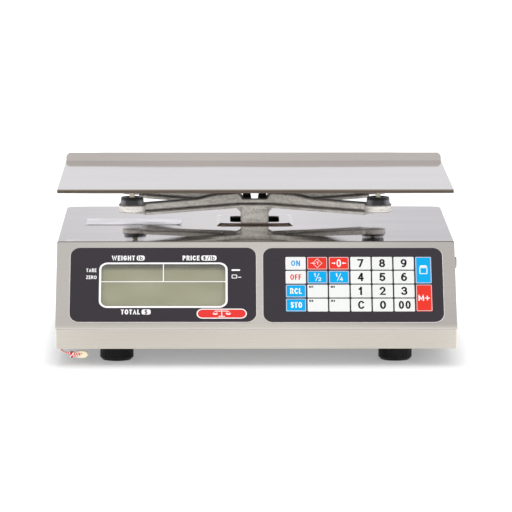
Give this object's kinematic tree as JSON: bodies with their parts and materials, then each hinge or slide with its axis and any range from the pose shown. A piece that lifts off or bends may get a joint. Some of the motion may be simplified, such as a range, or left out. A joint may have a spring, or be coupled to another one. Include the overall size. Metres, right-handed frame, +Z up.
{
  "type": "retail price scale",
  "caption": "Counter-top price computing scale: stainless housing with sloping display and keypad, cast spider on a load cell and a lift-off stainless tray.",
  "frame": {"origin": "middle of the whole scale's footprint, on the countertop under its feet", "axes": "+Z up, +X to the right of the user at the keypad, +Y from the user towards the customer"},
  "size_m": [0.3719, 0.3822, 0.1583],
  "materials": {
    "stainless": "fine horizontal brushed grain, satin",
    "tray_stainless": "fine brushed grain, nearly bright",
    "pan_steel": "zinc plated sheet",
    "fastener_steel": "zinc plated",
    "black_screw": "black oxide",
    "load_cell_aluminium": "machined, anodised",
    "cast_alloy": "sand-cast, grainy, tumbled edges",
    "cushion_rubber": "dark grey moulded rubber",
    "peg_nylon": "cream moulded nylon",
    "panel_film": "dark charcoal film, fine texture",
    "clear_window": "clear acrylic",
    "lcd_glass": "olive reflective liquid-crystal panel",
    "circuit_board": "green solder mask",
    "membrane_film": "translucent polyester",
    "battery_case": "black moulded case",
    "socket_plastic": "grey ribbed collar",
    "ribbon_cable": "grey flat cable",
    "cable_jacket": "black PVC jacket",
    "seal_strand": "red and white twisted strand",
    "seal_body": "cream moulded seal",
    "foot_plastic": "black moulded, knurled",
    "key_white": "printed polyester key",
    "key_blue": "printed polyester key",
    "key_red": "printed polyester key"
  },
  "bodies": {
    "base": {"housing_cover": "stainless", "base_pan": "pan_steel", "cover_screws": "fastener_steel", "load_cell": "load_cell_aluminium", "load_cell_block": "load_cell_aluminium", "load_cell_screws": "fastener_steel", "overload_screw": "fastener_steel", "display_overlay": "panel_film", "display_lens": "clear_window", "display_lcd": "lcd_glass", "display_board": "circuit_board", "keypad_overlay": "panel_film", "keypad_circuit": "membrane_film", "customer_overlay": "panel_film", "customer_lens": "clear_window", "customer_lcd": "lcd_glass", "customer_board": "circuit_board", "main_board": "circuit_board", "battery": "battery_case", "power_socket": "socket_plastic", "keypad_ribbon": "membrane_film", "display_ribbon": "ribbon_cable", "load_cell_cable": "cable_jacket", "seal_wire": "seal_strand", "seal_tag": "seal_body"},
    "platform_support": {"spider": "cast_alloy", "rubber_cushions": "cushion_rubber", "spider_screws": "black_screw"},
    "tray": {"weighing_tray": "tray_stainless", "tray_pegs": "peg_nylon"},
    "foot_front_left": {"foot_front_left": "foot_plastic"},
    "foot_front_right": {"foot_front_right": "foot_plastic"},
    "foot_rear_left": {"foot_rear_left": "foot_plastic"},
    "foot_rear_right": {"foot_rear_right": "foot_plastic"},
    "key_on": {"key_on": "key_white"},
    "key_tare": {"key_tare": "key_red"},
    "key_zero": {"key_zero": "key_red"},
    "key_7": {"key_7": "key_white"},
    "key_8": {"key_8": "key_white"},
    "key_9": {"key_9": "key_white"},
    "key_off": {"key_off": "key_white"},
    "key_half": {"key_half": "key_blue"},
    "key_quarter": {"key_quarter": "key_blue"},
    "key_4": {"key_4": "key_white"},
    "key_5": {"key_5": "key_white"},
    "key_6": {"key_6": "key_white"},
    "key_recall": {"key_recall": "key_blue"},
    "key_memory_1": {"key_memory_1": "key_white"},
    "key_memory_2": {"key_memory_2": "key_white"},
    "key_1": {"key_1": "key_white"},
    "key_2": {"key_2": "key_white"},
    "key_3": {"key_3": "key_white"},
    "key_store": {"key_store": "key_blue"},
    "key_memory_3": {"key_memory_3": "key_white"},
    "key_memory_4": {"key_memory_4": "key_white"},
    "key_clear": {"key_clear": "key_white"},
    "key_0": {"key_0": "key_white"},
    "key_00": {"key_00": "key_white"},
    "key_pack": {"key_pack": "key_blue"},
    "key_add": {"key_add": "key_red"}
  },
  "joints": [
    {"name": "platform_deflection", "type": "slide", "parent": "base", "child": "platform_support", "axis": [0, 0, 1], "range_m": [-0.0004, 0], "stiffness_N_per_m": 490000, "springref_m": 0.00003, "deforming": ["load_cell"]},
    {"name": "tray_lift", "type": "slide", "parent": "platform_support", "child": "tray", "axis": [0, 0, 1], "range_m": [0, 0.04]},
    {"name": "foot_front_left_level", "type": "slide", "parent": "base", "child": "foot_front_left", "axis": [0, 0, -1], "range_m": [0, 0.006]},
    {"name": "foot_front_right_level", "type": "slide", "parent": "base", "child": "foot_front_right", "axis": [0, 0, -1], "range_m": [0, 0.006]},
    {"name": "foot_rear_left_level", "type": "slide", "parent": "base", "child": "foot_rear_left", "axis": [0, 0, -1], "range_m": [0, 0.006]},
    {"name": "foot_rear_right_level", "type": "slide", "parent": "base", "child": "foot_rear_right", "axis": [0, 0, -1], "range_m": [0, 0.006]},
    {"name": "key_on_press", "type": "slide", "parent": "base", "child": "key_on", "axis": [0, 0.7418, -0.6706], "range_m": [0, 0.0003], "stiffness_N_per_m": 4000},
    {"name": "key_tare_press", "type": "slide", "parent": "base", "child": "key_tare", "axis": [0, 0.7418, -0.6706], "range_m": [0, 0.0003], "stiffness_N_per_m": 4000},
    {"name": "key_zero_press", "type": "slide", "parent": "base", "child": "key_zero", "axis": [0, 0.7418, -0.6706], "range_m": [0, 0.0003], "stiffness_N_per_m": 4000},
    {"name": "key_7_press", "type": "slide", "parent": "base", "child": "key_7", "axis": [0, 0.7418, -0.6706], "range_m": [0, 0.0003], "stiffness_N_per_m": 4000},
    {"name": "key_8_press", "type": "slide", "parent": "base", "child": "key_8", "axis": [0, 0.7418, -0.6706], "range_m": [0, 0.0003], "stiffness_N_per_m": 4000},
    {"name": "key_9_press", "type": "slide", "parent": "base", "child": "key_9", "axis": [0, 0.7418, -0.6706], "range_m": [0, 0.0003], "stiffness_N_per_m": 4000},
    {"name": "key_off_press", "type": "slide", "parent": "base", "child": "key_off", "axis": [0, 0.7418, -0.6706], "range_m": [0, 0.0003], "stiffness_N_per_m": 4000},
    {"name": "key_half_press", "type": "slide", "parent": "base", "child": "key_half", "axis": [0, 0.7418, -0.6706], "range_m": [0, 0.0003], "stiffness_N_per_m": 4000},
    {"name": "key_quarter_press", "type": "slide", "parent": "base", "child": "key_quarter", "axis": [0, 0.7418, -0.6706], "range_m": [0, 0.0003], "stiffness_N_per_m": 4000},
    {"name": "key_4_press", "type": "slide", "parent": "base", "child": "key_4", "axis": [0, 0.7418, -0.6706], "range_m": [0, 0.0003], "stiffness_N_per_m": 4000},
    {"name": "key_5_press", "type": "slide", "parent": "base", "child": "key_5", "axis": [0, 0.7418, -0.6706], "range_m": [0, 0.0003], "stiffness_N_per_m": 4000},
    {"name": "key_6_press", "type": "slide", "parent": "base", "child": "key_6", "axis": [0, 0.7418, -0.6706], "range_m": [0, 0.0003], "stiffness_N_per_m": 4000},
    {"name": "key_recall_press", "type": "slide", "parent": "base", "child": "key_recall", "axis": [0, 0.7418, -0.6706], "range_m": [0, 0.0003], "stiffness_N_per_m": 4000},
    {"name": "key_memory_1_press", "type": "slide", "parent": "base", "child": "key_memory_1", "axis": [0, 0.7418, -0.6706], "range_m": [0, 0.0003], "stiffness_N_per_m": 4000},
    {"name": "key_memory_2_press", "type": "slide", "parent": "base", "child": "key_memory_2", "axis": [0, 0.7418, -0.6706], "range_m": [0, 0.0003], "stiffness_N_per_m": 4000},
    {"name": "key_1_press", "type": "slide", "parent": "base", "child": "key_1", "axis": [0, 0.7418, -0.6706], "range_m": [0, 0.0003], "stiffness_N_per_m": 4000},
    {"name": "key_2_press", "type": "slide", "parent": "base", "child": "key_2", "axis": [0, 0.7418, -0.6706], "range_m": [0, 0.0003], "stiffness_N_per_m": 4000},
    {"name": "key_3_press", "type": "slide", "parent": "base", "child": "key_3", "axis": [0, 0.7418, -0.6706], "range_m": [0, 0.0003], "stiffness_N_per_m": 4000},
    {"name": "key_store_press", "type": "slide", "parent": "base", "child": "key_store", "axis": [0, 0.7418, -0.6706], "range_m": [0, 0.0003], "stiffness_N_per_m": 4000},
    {"name": "key_memory_3_press", "type": "slide", "parent": "base", "child": "key_memory_3", "axis": [0, 0.7418, -0.6706], "range_m": [0, 0.0003], "stiffness_N_per_m": 4000},
    {"name": "key_memory_4_press", "type": "slide", "parent": "base", "child": "key_memory_4", "axis": [0, 0.7418, -0.6706], "range_m": [0, 0.0003], "stiffness_N_per_m": 4000},
    {"name": "key_clear_press", "type": "slide", "parent": "base", "child": "key_clear", "axis": [0, 0.7418, -0.6706], "range_m": [0, 0.0003], "stiffness_N_per_m": 4000},
    {"name": "key_0_press", "type": "slide", "parent": "base", "child": "key_0", "axis": [0, 0.7418, -0.6706], "range_m": [0, 0.0003], "stiffness_N_per_m": 4000},
    {"name": "key_00_press", "type": "slide", "parent": "base", "child": "key_00", "axis": [0, 0.7418, -0.6706], "range_m": [0, 0.0003], "stiffness_N_per_m": 4000},
    {"name": "key_pack_press", "type": "slide", "parent": "base", "child": "key_pack", "axis": [0, 0.7418, -0.6706], "range_m": [0, 0.0003], "stiffness_N_per_m": 4000},
    {"name": "key_add_press", "type": "slide", "parent": "base", "child": "key_add", "axis": [0, 0.7418, -0.6706], "range_m": [0, 0.0003], "stiffness_N_per_m": 4000}
  ]
}
